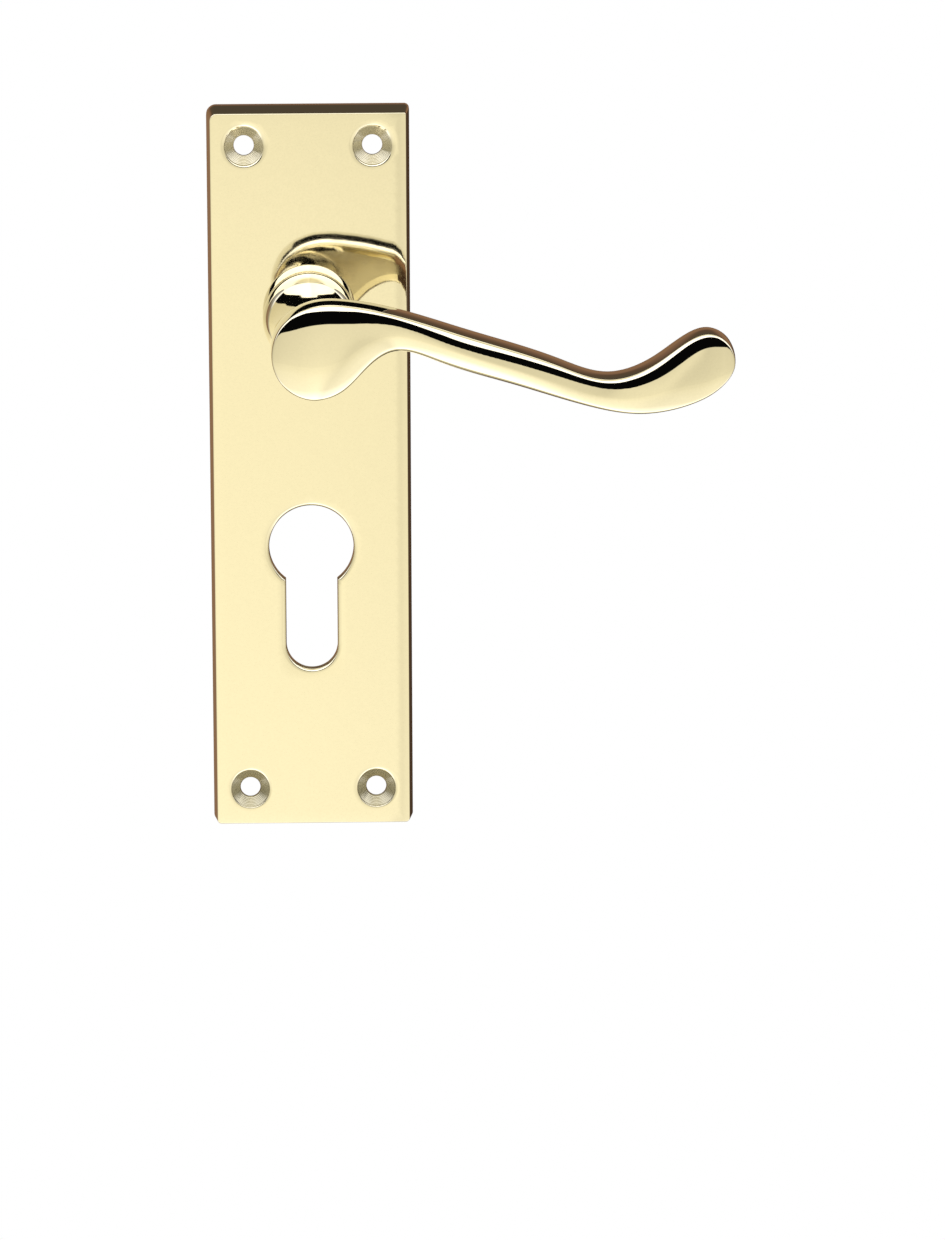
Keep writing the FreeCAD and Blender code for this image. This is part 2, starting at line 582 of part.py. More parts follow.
# ------------------------------------------------------------------------------ return spring
def make_return_spring():
    """A flat torsion spring: a short coil round the boss with a leg bent outwards at each end."""
    coil_r = dim("coil_radius")
    sweep = dim("coil_sweep")
    height = dim("coil_front") - dim("coil_rear")
    bend = dim("leg_bend")
    moving = math.radians(dim("moving_leg_angle"))
    fixed = math.radians(dim("moving_leg_angle") + sweep - 360)

    def leg(angle, level, way, reach):
        """The bend and the straight of one leg; way is +1 where the wire runs on anticlockwise."""
        out = V(math.cos(angle), 0, math.sin(angle))
        side = V(-math.sin(angle), 0, math.cos(angle)) * way
        start = out * coil_r + V(0, -level, 0)
        turn = start + out * bend * (1 - math.sqrt(0.5)) + side * bend * math.sqrt(0.5)
        corner = start + out * bend + side * bend
        tip = corner + out * (reach - coil_r - bend)
        return [Part.Arc(start, turn, corner).toShape(), Part.LineSegment(corner, tip).toShape()], tip

    # A helix climbs about +Z from +X, so it is first turned to the fixed leg and then laid down.
    coil = Part.makeHelix(height * 360 / sweep, height, coil_r)
    coil.rotate(V(0, 0, 0), V(0, 0, 1), -math.degrees(fixed))
    coil.rotate(V(0, 0, 0), V(1, 0, 0), -90)
    coil.translate(V(0, -dim("coil_front"), 0))
    fixed_leg, tip = leg(fixed, dim("coil_front"), 1, dim("fixed_leg_reach"))
    moving_leg, _ = leg(moving, dim("coil_rear"), -1, dim("moving_leg_reach"))
    path = Part.Wire(Part.__sortEdges__(fixed_leg + coil.Edges + moving_leg))
    along = V(math.cos(fixed), 0, math.sin(fixed))
    section = Part.Wire(Part.makeCircle(dim("wire_radius"), tip, along))
    spring = doc.addObject("Part::Feature", "return_spring")
    spring.Label = "return_spring"
    spring.Shape = path.makePipeShell([section], True, False)
    spring.Placement = FreeCAD.Placement()
    return spring


# ------------------------------------------------------------------------------ writing
def check_document():
    """Every object has to be up to date and whole before anything is written."""
    doc.recompute()
    for item in doc.Objects:
        if "Invalid" in item.State or "Error" in item.State:
            raise RuntimeError(f"{item.Label} is {item.State}: {item.getStatusString()}")


def write_parts(parts):
    os.makedirs("parts", exist_ok=True)
    for part in parts:
        shape = part.Shape
        if shape.isNull() or not shape.isValid():
            raise RuntimeError(f"{part.Label} has no sound shape")
        print(f"{part.Label:16s} {len(shape.Solids)} solid(s) {shape.Volume:9.1f} mm3")
        shape.exportStep(f"parts/{part.Label}.step")


PARTS = [
    make_backplate(), make_bearing_sleeve(), make_spring_housing(), make_housing_screws(),
    make_return_spring(), make_lever(), make_grub_screw(), make_drive_cam(), make_thrust_washer(),
    make_wave_washer(), make_circlip(),
]
check_document()
write_parts(PARTS)
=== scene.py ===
import json
import math

import bmesh
import bpy
import numpy as np
from mathutils import Matrix, Vector, noise
from mathutils.geometry import delaunay_2d_cdt


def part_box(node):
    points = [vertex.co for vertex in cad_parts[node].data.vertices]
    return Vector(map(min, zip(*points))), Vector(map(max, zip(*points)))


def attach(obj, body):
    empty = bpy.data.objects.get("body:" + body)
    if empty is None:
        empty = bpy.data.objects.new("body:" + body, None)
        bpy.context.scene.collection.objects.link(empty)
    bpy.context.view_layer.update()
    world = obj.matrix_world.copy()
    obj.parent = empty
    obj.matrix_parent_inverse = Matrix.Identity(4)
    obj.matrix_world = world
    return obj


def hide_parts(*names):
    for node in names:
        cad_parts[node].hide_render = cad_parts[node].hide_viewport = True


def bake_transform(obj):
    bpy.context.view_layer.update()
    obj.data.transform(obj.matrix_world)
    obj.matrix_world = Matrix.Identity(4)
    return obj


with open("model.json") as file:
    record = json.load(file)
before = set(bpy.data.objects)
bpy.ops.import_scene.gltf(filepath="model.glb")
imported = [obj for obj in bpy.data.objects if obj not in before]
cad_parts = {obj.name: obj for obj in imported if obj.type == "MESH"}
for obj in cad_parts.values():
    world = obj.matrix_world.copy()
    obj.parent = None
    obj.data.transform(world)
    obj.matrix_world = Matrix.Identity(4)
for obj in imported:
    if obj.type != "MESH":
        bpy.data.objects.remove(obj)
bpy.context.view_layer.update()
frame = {"nodes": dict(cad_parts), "record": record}
scene = bpy.context.scene
MM = 0.001

# Sizes below are millimetres in the frame's own axes. "front" is a distance towards -Y from the door.


def corners(node):
    """A CAD node's lowest and highest corners, in millimetres."""
    low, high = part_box(node)
    return low / MM, high / MM


# ------------------------------------------------------------------ camera
def make_camera():
    """The catalogue view: a long lens a little above the spindle, looking down at the plate's face."""
    pitch, yaw, roll = math.radians(13.08), math.radians(1.51), math.radians(0.2)
    ahead = Vector((math.sin(yaw) * math.cos(pitch), math.cos(yaw) * math.cos(pitch), -math.sin(pitch)))
    data = bpy.data.cameras.new("camera")
    data.sensor_fit = "AUTO"
    data.sensor_width = 36.0
    data.lens = 204.5
    data.clip_start, data.clip_end = 0.05, 60.0
    camera = bpy.data.objects.new("camera", data)
    camera.rotation_mode = "QUATERNION"
    tilt = Matrix.Rotation(-roll, 3, "Z").to_quaternion()
    camera.rotation_quaternion = ahead.to_track_quat("-Z", "Y") @ tilt
    camera.location = Vector((-4.2, -1417.7, 263.9)) * MM
    scene.collection.objects.link(camera)
    scene.camera = camera


# ------------------------------------------------------------------ node helpers
class Nodes:
    """Short names for building a node tree."""

    def __init__(self, tree):
        self.tree = tree
        tree.nodes.clear()

    def add(self, kind, inputs=None, **settings):
        node = self.tree.nodes.new("ShaderNode" + kind)
        for name, value in settings.items():
            setattr(node, name, value)
        for name, value in (inputs or {}).items():
            self.put(node.inputs[name], value)
        return node

    def put(self, socket, value):
        if isinstance(value, bpy.types.NodeSocket):
            self.tree.links.new(value, socket)
        else:
            socket.default_value = value

    def maths(self, operation, a, b=0.0):
        return self.add("Math", {0: a, 1: b}, operation=operation).outputs[0]

    def between(self, value, low, high, from_value=0.0, to_value=1.0, smooth=False):
        """Maps low..high of a value to from_value..to_value, and holds it there outside."""
        inputs = {"Value": value, "From Min": low, "From Max": high}
        inputs |= {"To Min": from_value, "To Max": to_value}
        node = self.add("MapRange", inputs, interpolation_type="SMOOTHSTEP" if smooth else "LINEAR")
        return node.outputs["Result"]

    def mix(self, factor, a, b, blend="MIX"):
        node = self.add("Mix", {0: factor, 6: a, 7: b}, data_type="RGBA", blend_type=blend)
        return node.outputs[2]

    def ramp(self, value, stops):
        node = self.add("ValToRGB", {"Fac": value})
        elements = node.color_ramp.elements
        while len(elements) < len(stops):
            elements.new(0.5)
        for element, (position, colour) in zip(elements, stops):
            element.position = position
            element.color = (*colour, 1.0)
        return node.outputs["Color"]

    def noise(self, vector, scale, detail=2.0, rough=0.5):
        inputs = {"Vector": vector, "Scale": scale, "Detail": detail, "Roughness": rough}
        return self.add("TexNoise", inputs).outputs["Fac"]

    def stretched(self, scales):
        """Object coordinates stretched along the axes."""
        coordinates = self.add("TexCoord").outputs["Object"]
        return self.add("Mapping", {"Vector": coordinates, "Scale": scales}).outputs["Vector"]

    def bump(self, height, depth):
        return self.add("Bump", {"Height": height, "Distance": depth, "Strength": 1.0}).outputs["Normal"]

    def metal(self, colour, rough, normal, metallic=1.0):
        """Ends a material in one principled shader."""
        inputs = {"Base Color": colour, "Metallic": metallic, "Roughness": rough, "Normal": normal}
        self.add("OutputMaterial", {0: self.add("BsdfPrincipled", inputs).outputs[0]})


def new_material(name):
    material = bpy.data.materials.new(name)
    material.use_nodes = True
    return material, Nodes(material.node_tree)


# ------------------------------------------------------------------ studio
CREAM = (0.995, 0.927, 0.672)
BRIGHTEST = 3.0                 # the tent's colours are stored as shares of this
SLOT_FLOOR, SLOT_ROOF = 9.5, 22.0
SLOT_REACH = 54.0
SOFTNESS = 0.2


def make_world():
    """A light tent, cream in front and white above, with a dark slot for the camera and a brown room behind.

    Heights are degrees up from level, and turns are degrees to the right of straight ahead of the plate."""
    world = bpy.data.worlds.new("studio")
    world.use_nodes = True
    scene.world = world
    n = Nodes(world.node_tree)
    x, y, z = n.add("SeparateXYZ", {0: n.add("TexCoord").outputs["Generated"]}).outputs
    degrees = 180.0 / math.pi
    height = n.maths("MULTIPLY", n.maths("ARCSINE", z), degrees)
    turn = n.maths("MULTIPLY", n.maths("ARCTAN2", x, n.maths("MULTIPLY", y, -1.0)), degrees)
    aside = n.maths("ABSOLUTE", turn)
    place = n.maths("ADD", n.maths("DIVIDE", height, 180.0), 0.5)

    def stops(levels):
        return [(level / 180.0 + 0.5, colour) for level, colour in levels]

    def dim(*colour):
        return tuple(part / BRIGHTEST for part in colour)

    def lit(strength):
        """Cream, and whiter where it is brighter."""
        pale = min(max((strength - 1.06) / 0.8, 0.0), 0.8)
        return dim(*((part + (1.0 - part) * pale) * strength for part in CREAM))

    def grey(*levels):
        return [(level / 360.0 + 0.5, (share,) * 3) for level, share in levels]

    front = n.ramp(place, stops([
        (-90, lit(0.5)), (-62, lit(0.8)), (-50, lit(0.95)), (-42, lit(2.1)), (-26, lit(1.2)),
        (-14.5, lit(1.11)), (-11.5, lit(1.05)), (-9.9, lit(1.02)), (-9.4, lit(0.97)), (-4, lit(0.91)),
        (9, lit(0.86)), (22, lit(1.9)), (28, lit(2.1)), (56, lit(2.0)), (66, lit(1.1)), (90, lit(0.9)),
    ]))
    back = n.ramp(place, stops([
        (-90, lit(0.5)), (-83, lit(0.5)), (-77, dim(0.1, 0.07, 0.045)), (-60, dim(0.12, 0.08, 0.05)),
        (-12, dim(0.26, 0.15, 0.085)), (3, dim(0.25, 0.14, 0.075)), (8, dim(0.205, 0.115, 0.068)),
        (11, dim(0.165, 0.095, 0.06)), (14, dim(0.1, 0.062, 0.038)), (19, dim(0.078, 0.06, 0.042)),
        (42, dim(0.05, 0.04, 0.03)), (44, lit(1.5)), (52, lit(1.1)), (90, lit(0.9)),
    ]))
    # The front is dimmer towards both sides, and just right of the middle, where the room shows a little.
    fade = n.ramp(n.maths("ADD", n.maths("DIVIDE", turn, 360.0), 0.5), grey(
        (-90, 0.5), (-43.2, 0.78), (-18, 0.9), (-9, 0.93), (-0.9, 1.0), (1.008, 0.95), (2.16, 0.88),
        (3.96, 0.82), (7.2, 0.85), (14.4, 0.89), (43.2, 0.78), (90, 0.5),
    ))
    front = n.mix(1.0, front, fade, "MULTIPLY")
    shadow = n.maths("MULTIPLY", n.between(turn, 120.0, 140.0), n.between(height, -7.0, -3.0, 1.0, 0.0))
    back = n.mix(n.maths("MULTIPLY", shadow, 0.75), back, (0.0, 0.0, 0.0, 1.0))
    around = n.mix(n.between(aside, 100.0, 125.0, smooth=True), front, back)
    above = n.between(height, SLOT_FLOOR - SOFTNESS, SLOT_FLOOR + SOFTNESS)
    under = n.between(height, SLOT_ROOF - SOFTNESS, SLOT_ROOF + SOFTNESS, 1.0, 0.0)
    within = n.between(aside, SLOT_REACH - 2.0, SLOT_REACH + 2.0, 1.0, 0.0)
    slot = n.maths("MULTIPLY", n.maths("MULTIPLY", above, under), within)
    around = n.mix(slot, around, (0.0007, 0.0007, 0.0008, 1.0))
    tent = n.add("Background", {"Color": around, "Strength": BRIGHTEST}).outputs[0]
    white = n.add("Background", {"Color": (1, 1, 1, 1), "Strength": 1.0}).outputs[0]
    seen = n.add("LightPath").outputs["Is Camera Ray"]
    n.add("OutputWorld", {0: n.add("MixShader", {0: seen, 1: tent, 2: white}).outputs[0]})


def make_floor():
    """A plain white sheet below the handle, seen by the camera only and only from above."""
    reach, gap = 20.0, 0.25
    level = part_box("backplate")[0].z - gap
    mesh = bpy.data.meshes.new("floor")
    mesh.from_pydata([(-reach, -reach, level), (reach, -reach, level), (reach, reach, level),
                      (-reach, reach, level)], [], [(0, 1, 2, 3)])
    floor = bpy.data.objects.new("floor", mesh)
    scene.collection.objects.link(floor)
    floor.visible_glossy = False
    floor.visible_diffuse = False
    material, n = new_material("white_sheet")
    glow = n.add("Emission", {"Color": (1, 1, 1, 1), "Strength": 1.0}).outputs[0]
    clear = n.add("BsdfTransparent").outputs[0]
    below = n.add("NewGeometry").outputs["Backfacing"]
    n.add("OutputMaterial", {0: n.add("MixShader", {0: below, 1: glow, 2: clear}).outputs[0]})
    mesh.materials.append(material)


# ------------------------------------------------------------------ materials
BRASS = (0.96, 0.905, 0.74)


def shade(colour, share):
    return (*(part * share for part in colour), 1.0)


def polished_brass(name, finest, dullest):
    """Mirror polish: faint haze and smears, and a surface that is not quite flat."""
    material, n = new_material(name)
    here = n.stretched((1, 1, 1))
    smears = n.noise(here, 160.0, 4.0, 0.6)
    haze = n.noise(here, 2200.0, 3.0)
    colour = n.mix(n.between(haze, 0.35, 0.65), shade(BRASS, 0.975), shade(BRASS, 1.0))
    rough = n.between(smears, 0.3, 0.75, finest, dullest)
    n.metal(colour, rough, n.bump(n.noise(here, 330.0, 1.0), 0.000003))
    return material


def lined_metal(name, colour, rough, lines, depth, tone=0.12):
    """A metal worked in one direction: tone, gloss and height vary across the lines."""
    material, n = new_material(name)
    fine = n.noise(n.stretched(lines), 1.0, 3.0, 0.6)
    cloud = n.noise(n.stretched((1, 1, 1)), 420.0, 3.0)
    base = n.mix(n.between(fine, 0.3, 0.7), shade(colour, 1.0 - tone), shade(colour, 1.0))
    gloss = n.between(cloud, 0.3, 0.7, rough * 0.8, rough * 1.25)
    n.metal(base, gloss, n.bump(fine, depth))
    return material


def grained_metal(name, colour, dark, rough, grain, depth, metallic=1.0):
    """A metal with a random skin, such as cast brass, zinc plate or black phosphate."""
    material, n = new_material(name)
    here = n.stretched((1, 1, 1))
    grains = n.noise(here, grain, 4.0, 0.65)
    blotches = n.noise(here, grain * 0.12, 3.0, 0.6)
    base = n.mix(n.between(grains, 0.36, 0.62), shade(dark, 1.0), shade(colour, 1.0))
    base = n.mix(n.between(blotches, 0.35, 0.7, 0.0, 0.35), base, shade(colour, 0.72))
    gloss = n.between(blotches, 0.3, 0.7, rough * 0.75, rough * 1.2)
    n.metal(base, gloss, n.bump(grains, depth), metallic)
    return material


# ------------------------------------------------------------------ curves and shells
def smooth_line(points, closed=False, steps=120):
    """Many points along one cubic curve through the given ones, with chord lengths as its parameter."""
    p = np.array(points, float)
    if closed:
        p = np.vstack([p, p[:1]])
    last = len(p) - 1
    h = np.linalg.norm(np.diff(p, axis=0), axis=1)
    slope = np.diff(p, axis=0) / h[:, None]
    system, side = np.zeros((last + 1, last + 1)), np.zeros_like(p)
    for k in range(1, last):
        system[k, k - 1:k + 2] = h[k - 1], 2 * (h[k - 1] + h[k]), h[k]
        side[k] = 6 * (slope[k] - slope[k - 1])
    system[0, 0] = 1
    if closed:
        system[0, last] = -1
        system[last, [last - 1, last, 0, 1]] = h[-1], 2 * h[-1], 2 * h[0], h[0]
        side[last] = 6 * (slope[0] - slope[-1])
    else:
        system[last, last] = 1
    bend = np.linalg.solve(system, side)
    b = np.linspace(0, 1, steps, endpoint=False)[:, None]
    a = 1 - b
    spans = [a * p[k] + b * p[k + 1] + h[k] ** 2 / 6 * ((a ** 3 - a) * bend[k] + (b ** 3 - b) * bend[k + 1])
             for k in range(last)]
    return np.vstack(spans if closed else spans + [p[-1:]])


def evenly(line, count):
    """A closed line's points again, count of them, equally far apart."""
    ring = np.vstack([line, line[:1]])
    run = np.concatenate([[0], np.cumsum(np.linalg.norm(np.diff(ring, axis=0), axis=1))])
    at = np.linspace(0, run[-1], count, endpoint=False)
    return np.column_stack([np.interp(at, run, ring[:, k]) for k in range(ring.shape[1])])


def table(*stations):
    """A smooth function of one number through (place, value) stations."""
    line = smooth_line(stations)
    return lambda where: np.interp(where, line[:, 0], line[:, 1])


class Shell:
    """Collects points in millimetres and the faces between them, then makes one piece of them."""

    def __init__(self):
        self.points, self.faces, self.finishes = [], [], []

    def loop(self, places):
        start = len(self.points)
        self.points.extend(tuple(float(v) for v in place) for place in places)
        return list(range(start, len(self.points)))

    def bridge(self, a, b, finish=0):
        for k in range(len(a)):
            j = (k + 1) % len(a)
            self.faces.append((a[k], a[j], b[j], b[k]))
            self.finishes.append(finish)

    def chain(self, loops, finish=0):
        for a, b in zip(loops, loops[1:]):
            self.bridge(a, b, finish)

    def close(self, ring, finish=0):
        """A fan over a convex loop."""
        middle = self.loop([np.mean([self.points[k] for k in ring], axis=0)])[0]
        for k in range(len(ring)):
            self.faces.append((ring[k], ring[(k + 1) % len(ring)], middle))
            self.finishes.append(finish)

    def fill(self, outer, holes=(), inside=(), finish=0):
        """Triangles between an outer loop and holes, over extra inside points, seen along Y."""
        loops = [outer, *holes]
        known = [k for ring in loops for k in ring] + self.loop(inside)
        flat = np.array([(self.points[k][0], self.points[k][2]) for k in known])
        edges, start = [], 0
        for ring in loops:
            edges += [(start + k, start + (k + 1) % len(ring)) for k in range(len(ring))]
            start += len(ring)
        places, _, triangles, origins, _, _ = delaunay_2d_cdt([Vector(p) for p in flat], edges, [], 0, 1e-9)
        own = [known[o[0]] if o else None for o in origins]
        centres = np.array([sum((places[k] for k in t), Vector((0, 0))) / 3 for t in triangles])
        a, b = flat[[e[0] for e in edges]], flat[[e[1] for e in edges]]
        crossings = np.zeros(len(centres), int)
        for (ax, az), (bx, bz) in zip(a, b):
            spans = (az > centres[:, 1]) != (bz > centres[:, 1])
            if spans.any():
                reach = ax + (centres[:, 1] - az) * (bx - ax) / (bz - az) if bz != az else ax
                crossings += spans & (centres[:, 0] < reach)
        for t, count in zip(triangles, crossings):
            if count % 2:
                self.faces.append(tuple(own[k] for k in t))
                self.finishes.append(finish)

    def piece(self, name, materials):
        mesh = bpy.data.meshes.new(name)
        mesh.from_pydata([Vector(p) * MM for p in self.points], [], self.faces)
        mesh.polygons.foreach_set("material_index", self.finishes)
        for material in materials:
            mesh.materials.append(material)
        made = bpy.data.objects.new(name, mesh)
        scene.collection.objects.link(made)
        shade_smooth(made)
        return made


def shade_smooth(piece, crease=30.0):
    """Joins doubled points, turns the faces outwards and keeps only real corners sharp."""
    work = bmesh.new()
    work.from_mesh(piece.data)
    bmesh.ops.remove_doubles(work, verts=work.verts, dist=1e-6)
    bmesh.ops.dissolve_degenerate(work, edges=work.edges, dist=1e-7)
    bmesh.ops.recalc_face_normals(work, faces=work.faces)
    for face in work.faces:
        face.smooth = True
    limit = math.radians(crease)
    for edge in work.edges:
        edge.smooth = not (edge.is_manifold and edge.calc_face_angle() > limit)
    work.to_mesh(piece.data)
    work.free()


def grid_inside(x_range, z_range, step):
    """A staggered grid of places, so that triangles over it come out even."""
    places = []
    for row, z in enumerate(np.arange(*z_range, step * math.sqrt(0.75))):
        places += [(x + (row % 2) * step / 2, z) for x in np.arange(*x_range, step)]
    return np.array(places)


def circle(x, z, radius, front, count=96):
    turn = np.linspace(0, 2 * math.pi, count, endpoint=False)
    return np.column_stack([x + radius * np.cos(turn), np.full(count, -front), z + radius * np.sin(turn)])


# ------------------------------------------------------------------ lever
# The grip's outline as (across, up) places, the same as the CAD part's.
GRIP_OUTLINE = [
    (-0.4, -8.9), (-5.8, -5.8), (-7.9, 0.0), (-5.8, 5.95), (0.0, 9.5), (8.0, 9.7), (16.0, 8.2),
    (31.0, 3.6), (49.5, -2.5), (59.2, -5.25), (68.2, -2.2), (74.0, 1.85), (78.9, 3.6), (82.8, 1.75),
    (84.2, -2.2), (81.4, -6.9), (75.0, -10.45), (65.0, -12.2), (55.0, -10.6), (40.0, -6.05),
    (25.0, -1.3), (16.2, 0.65), (10.9, -2.9), (6.1, -7.4),
]
GRIP_REAR = 40.0
# At the front (1) and the rear (-1): degrees that the sides turn in before each rounded edge, the depth
# over which they do, how far the top edge stands above the outline, and the edge's radius along the lever.
SIDE_LEAN = {1: 5.0, -1: 14.0}
SIDE_DROOP = {1: 4.8, -1: 3.2}
TOP_RISE = {1: 0.36, -1: 0.06}
EDGE_RADIUS = {
    1: table((-8, 0.5), (6, 0.5), (16, 0.8), (24, 0.95), (42, 0.95), (54, 0.75), (66, 0.5), (85, 0.45)),
    -1: table((-8, 0.6), (85, 0.6)),
}


def inward_normals(line):
    ahead = np.roll(line, -1, axis=0) - np.roll(line, 1, axis=0)
    inward = np.column_stack([ahead[:, 1], -ahead[:, 0]])
    return inward / np.linalg.norm(inward, axis=1)[:, None]


def tapered(line, side):
    """The outline at the front (side 1) or the rear (-1): the top leans back over its depth."""
    upward = np.clip(-inward_normals(line)[:, 1], 0.0, 1.0)
    return line + np.column_stack([np.zeros(len(line)), TOP_RISE[side] * upward])


class GripFace:
    """One face of the grip as a height over its outline: leaning back a little, and crowned."""

    def __init__(self, outline, side, front):
        self.side, self.front = side, front
        edge = 0.15 + 0.85 * EDGE_RADIUS[side](outline[:, 0])
        line = outline + edge[:, None] * inward_normals(outline)
        line = np.roll(line, -int(line[:, 0].argmin()), axis=0)
        far = int(line[:, 0].argmax())
        self.upper, self.lower = line[:far + 1], line[far:][::-1]
        # Along the lever: head, arm, scroll. Widths in mm and slopes in degrees.
        self.width = table((-8, 15.4), (4, 15.4), (10, 11.5), (16, 6.9), (24, 5.4), (50, 5.2), (60, 5.4),
                           (66, 6.9), (71, 8.9), (79, 11.6), (85, 11.6))
        self.lean = table((-8, 2.8), (10, 3.0), (25, 2.1), (42, 2.1), (60, 3.2), (71, 4.1), (79, 5.0),
                          (85, 5.0))
        self.bow = table((-8, 9.3), (8, 9.5), (16, 16.0), (24, 21.0), (42, 20.0), (54, 16.0), (62, 13.8),
                         (71, 11.7), (79, 6.5), (85, 6.5))
        self.roll = table((-8, 4.4), (8, 4.2), (16, -3.0), (24, -6.6), (42, -5.6), (54, -2.9), (62, -0.5),
                          (71, 0.7), (79, 5.0), (85, 5.0))
        self.rise = table((-8, 0.85), (3, 0.85), (10, 0.75), (20, 0.45), (56, 0.35), (66, 0.5), (76, 0.65),
                          (85, 0.65))

    def section(self, x, z):
        """Half the upright gap squared less the distance squared from its middle, and that distance."""
        top = np.interp(x, self.upper[:, 0], self.upper[:, 1])
        low = np.interp(x, self.lower[:, 0], self.lower[:, 1])
        return (top - z) * (z - low), z - (top + low) / 2

    def y(self, x, z):
        inside, off_middle = self.section(x, z)
        width = self.width(x)
        bow = np.tan(np.radians(self.bow(x))) / width
        if self.side < 0:
            return -GRIP_REAR - 0.3 * self.rise(x) + 0.3 * bow * inside
        roll = 2 * np.tan(np.radians(self.roll(x))) / width ** 3
        crown = inside * (bow + roll * (width ** 2 / 2 - inside))
        return self.rise(x) - self.front + off_middle * np.tan(np.radians(self.lean(x))) - crown


def rounded_edge(rim, inward, face, lip, steps=9):
    """Rings of an arc that leaves the leaning side and meets a face along its own slope.

    lip is how far the side has turned in. Gives the rings from side to face, and the last one's inset."""
    start = math.radians(90 - SIDE_LEAN[face.side])
    radius = EDGE_RADIUS[face.side](rim[:, 0])
    inset = lip + radius * 0.9

    def height(depth):
        x, z = (rim + inward * depth[:, None]).T
        return -face.y(x, z) * face.side

    for _ in range(3):
        slope = np.arctan((height(inset + 0.05) - height(inset)) / 0.05)
        inset = lip + radius * (math.sin(start) - np.sin(slope))
    middle = height(inset) - radius * np.cos(slope)
    rings = []
    for share in np.linspace(0, 1, steps):
        lean = start + (slope - start) * share
        x, z = (rim + inward * (lip + radius * (math.sin(start) - np.sin(lean)))[:, None]).T
        rings.append(np.column_stack([x, -face.side * (middle + radius * np.cos(lean)), z]))
    return rings, inset


def make_grip(front_reach, materials):
    """Rings from the rear face over the side to the front face, then a fine skin over each face."""
    outline = smooth_line(GRIP_OUTLINE, closed=True)
    even = evenly(outline, 440)
    inward = inward_normals(even)
    shell = Shell()
    halves = {}
    for side in (-1, 1):
        face = GripFace(tapered(outline, side), side, front_reach)
        rim = tapered(even, side)
        droop = SIDE_DROOP[side]
        lip = math.tan(math.radians(SIDE_LEAN[side])) * droop / 2
        edge, inset = rounded_edge(rim, inward, face, lip)
        rings = []
        for share in (1.0, 0.8, 0.6, 0.4, 0.2, 0.1):
            turned = lip * (1 - share) ** 2
            x, z = (rim + inward * turned).T
            rings.append(np.column_stack([x, edge[0][:, 1] + side * share * droop, z]))
        rings += edge
        for further in (0.3, 0.7, 1.2):
            x, z = (rim + inward * (inset + further)[:, None]).T
            rings.append(np.column_stack([x, face.y(x, z), z]))
        loops = [shell.loop(ring) for ring in rings]
        shell.chain(loops)
        halves[side] = loops

        places = grid_inside((-9.0, 86.0), (-14.0, 12.0), 0.4 if side > 0 else 0.9)
        border = rings[-1][:, [0, 2]]
        gap = np.array([np.hypot(*(border - p).T).min() for p in places])
        inside, _ = face.section(*places.T)
        places = places[(inside > 0) & (gap > 0.35)]
        inside = np.column_stack([places[:, 0], face.y(*places.T), places[:, 1]])
        shell.fill(loops[-1], inside=inside, finish=3 if side < 0 else 0)
    shell.bridge(halves[-1][0], halves[1][0])
    return shell.piece("lever", materials)


def make_neck(behind, materials):
    """Shank, bulb and waisted neck as one turned form, with flats, ring groove and spindle socket."""
    shell = Shell()
    count = 192
    turn = np.linspace(0, 2 * math.pi, count, endpoint=False)
    sine, cosine = np.sin(turn), np.cos(turn)

    def ring(front, radius, flat=None, rough=0.0):
        """One ring; the hand-dressed neck stands a little high between the bulb and the grip."""
        spread = np.full(count, float(radius))
        high = 0.35 * float(np.interp(front, (10.7, 13.0, 24.0, 38.0), (0.0, 1.0, 1.0, 0.0)))
        if flat:
            spread = np.minimum(spread, flat / np.maximum(np.abs(cosine), 1e-6))
        if rough:
            skin = [noise.noise(Vector((s * 9, front * 4, c * 9))) for s, c in zip(sine, cosine)]
            spread = spread + rough * np.array(skin)
        return shell.loop(np.column_stack([spread * sine, np.full(count, -front), spread * cosine + high]))

    def square(front, half):
        spread = half / np.maximum(np.abs(sine), np.abs(cosine))
        return shell.loop(np.column_stack([spread * sine, np.full(count, -front), spread * cosine]))

    neck = smooth_line([(17.1, 8.16), (19.4, 7.62), (22.5, 7.1), (31.5, 6.6), (42.0, 7.1)], steps=12)
    bulb = smooth_line([(10.62, 8.98), (12.6, 9.45), (15.0, 9.2), (16.75, 8.3)], steps=12)
    body = [ring(44.0, 4.0), ring(43.9, 6.9)]
    body += [ring(f, r) for f, r in neck[::-1]]
    body += [ring(16.92, 8.03)]
    body += [ring(f, r) for f, r in bulb[::-1]]
    body += [ring(10.45, 8.9), ring(10.34, 8.75), ring(10.3, 8.55)]
    shell.chain(body)
    shell.close(body[0])
    shank = [body[-1], ring(10.3, 8.3), ring(2.15, 8.3), ring(2.1, 8.3, 7.2), ring(0.45, 8.3, 7.2),
             ring(0.42, 8.28, 7.2), ring(0.42, 7.65, 7.2), ring(-0.62, 7.65, 7.2), ring(-0.62, 8.28, 7.2)]
    shell.chain(shank, finish=1)
    tail = [shank[-1]]
    for k in range(1, 7):
        tail.append(ring(-0.62 - k * (behind - 1.1) / 6, 8.26, 7.2, rough=0.07))
    tail += [ring(0.22 - behind, 8.12, 7.2, rough=0.09), ring(0.06 - behind, 7.9, 7.1, rough=0.09),
             ring(-behind, 7.6, 6.9, rough=0.07), ring(-behind, 6.9, 6.4), ring(-behind, 6.2)]
    shell.chain(tail, finish=2)
    mouth = [tail[-1], square(-behind, 4.25), square(0.2 - behind, 4.05), square(31.0, 4.05),
             square(32.0, 3.6)]
    shell.chain(mouth, finish=1)
    shell.close(mouth[-1], finish=1)
    return shell.piece("neck", materials)


